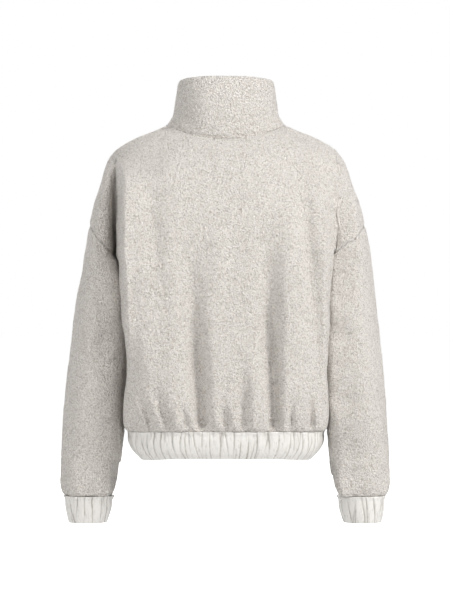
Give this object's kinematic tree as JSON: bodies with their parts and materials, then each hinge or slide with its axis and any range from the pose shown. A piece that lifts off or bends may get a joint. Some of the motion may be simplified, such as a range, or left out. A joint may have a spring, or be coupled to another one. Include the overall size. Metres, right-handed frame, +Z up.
{
  "type": "fleece jacket",
  "caption": "Pile fleece jacket with a high stand collar, dropped shoulders, a full front zip and gathered satin bands at hem and cuffs, worn and filled out.",
  "frame": {"origin": "midway between the two shoulder seams, 122 mm out on each side, where the wearer's shoulders carry the jacket", "axes": "+X the wearer's left, -Y the jacket's front, +Y its back, +Z up"},
  "size_m": [0.5624, 0.277, 0.7524],
  "materials": {
    "fleece": "deep curly pile, cream",
    "satin": "smooth shiny satin, gathered, cream",
    "zip_tape": "plain woven tape, cream",
    "zip_metal": "plain pale metal"
  },
  "bodies": {
    "jacket": {"back": "fleece", "front_left": "fleece", "front_right": "fleece", "sleeve_left": "fleece", "sleeve_right": "fleece", "collar": "fleece", "hem_band": "satin", "cuff_left": "satin", "cuff_right": "satin", "zip_tape_left": "zip_tape", "zip_tape_right": "zip_tape", "zip_chain": "zip_metal", "zip_slider": "zip_metal"},
    "pull_tab": {"zip_pull": "zip_metal"}
  },
  "joints": [
    {"name": "pull_tab_swing", "type": "hinge", "parent": "jacket", "child": "pull_tab", "pos_m": [0, -0.11143, 0.02038], "axis": [1, 0, 0], "range_deg": [-150, 0]}
  ]
}
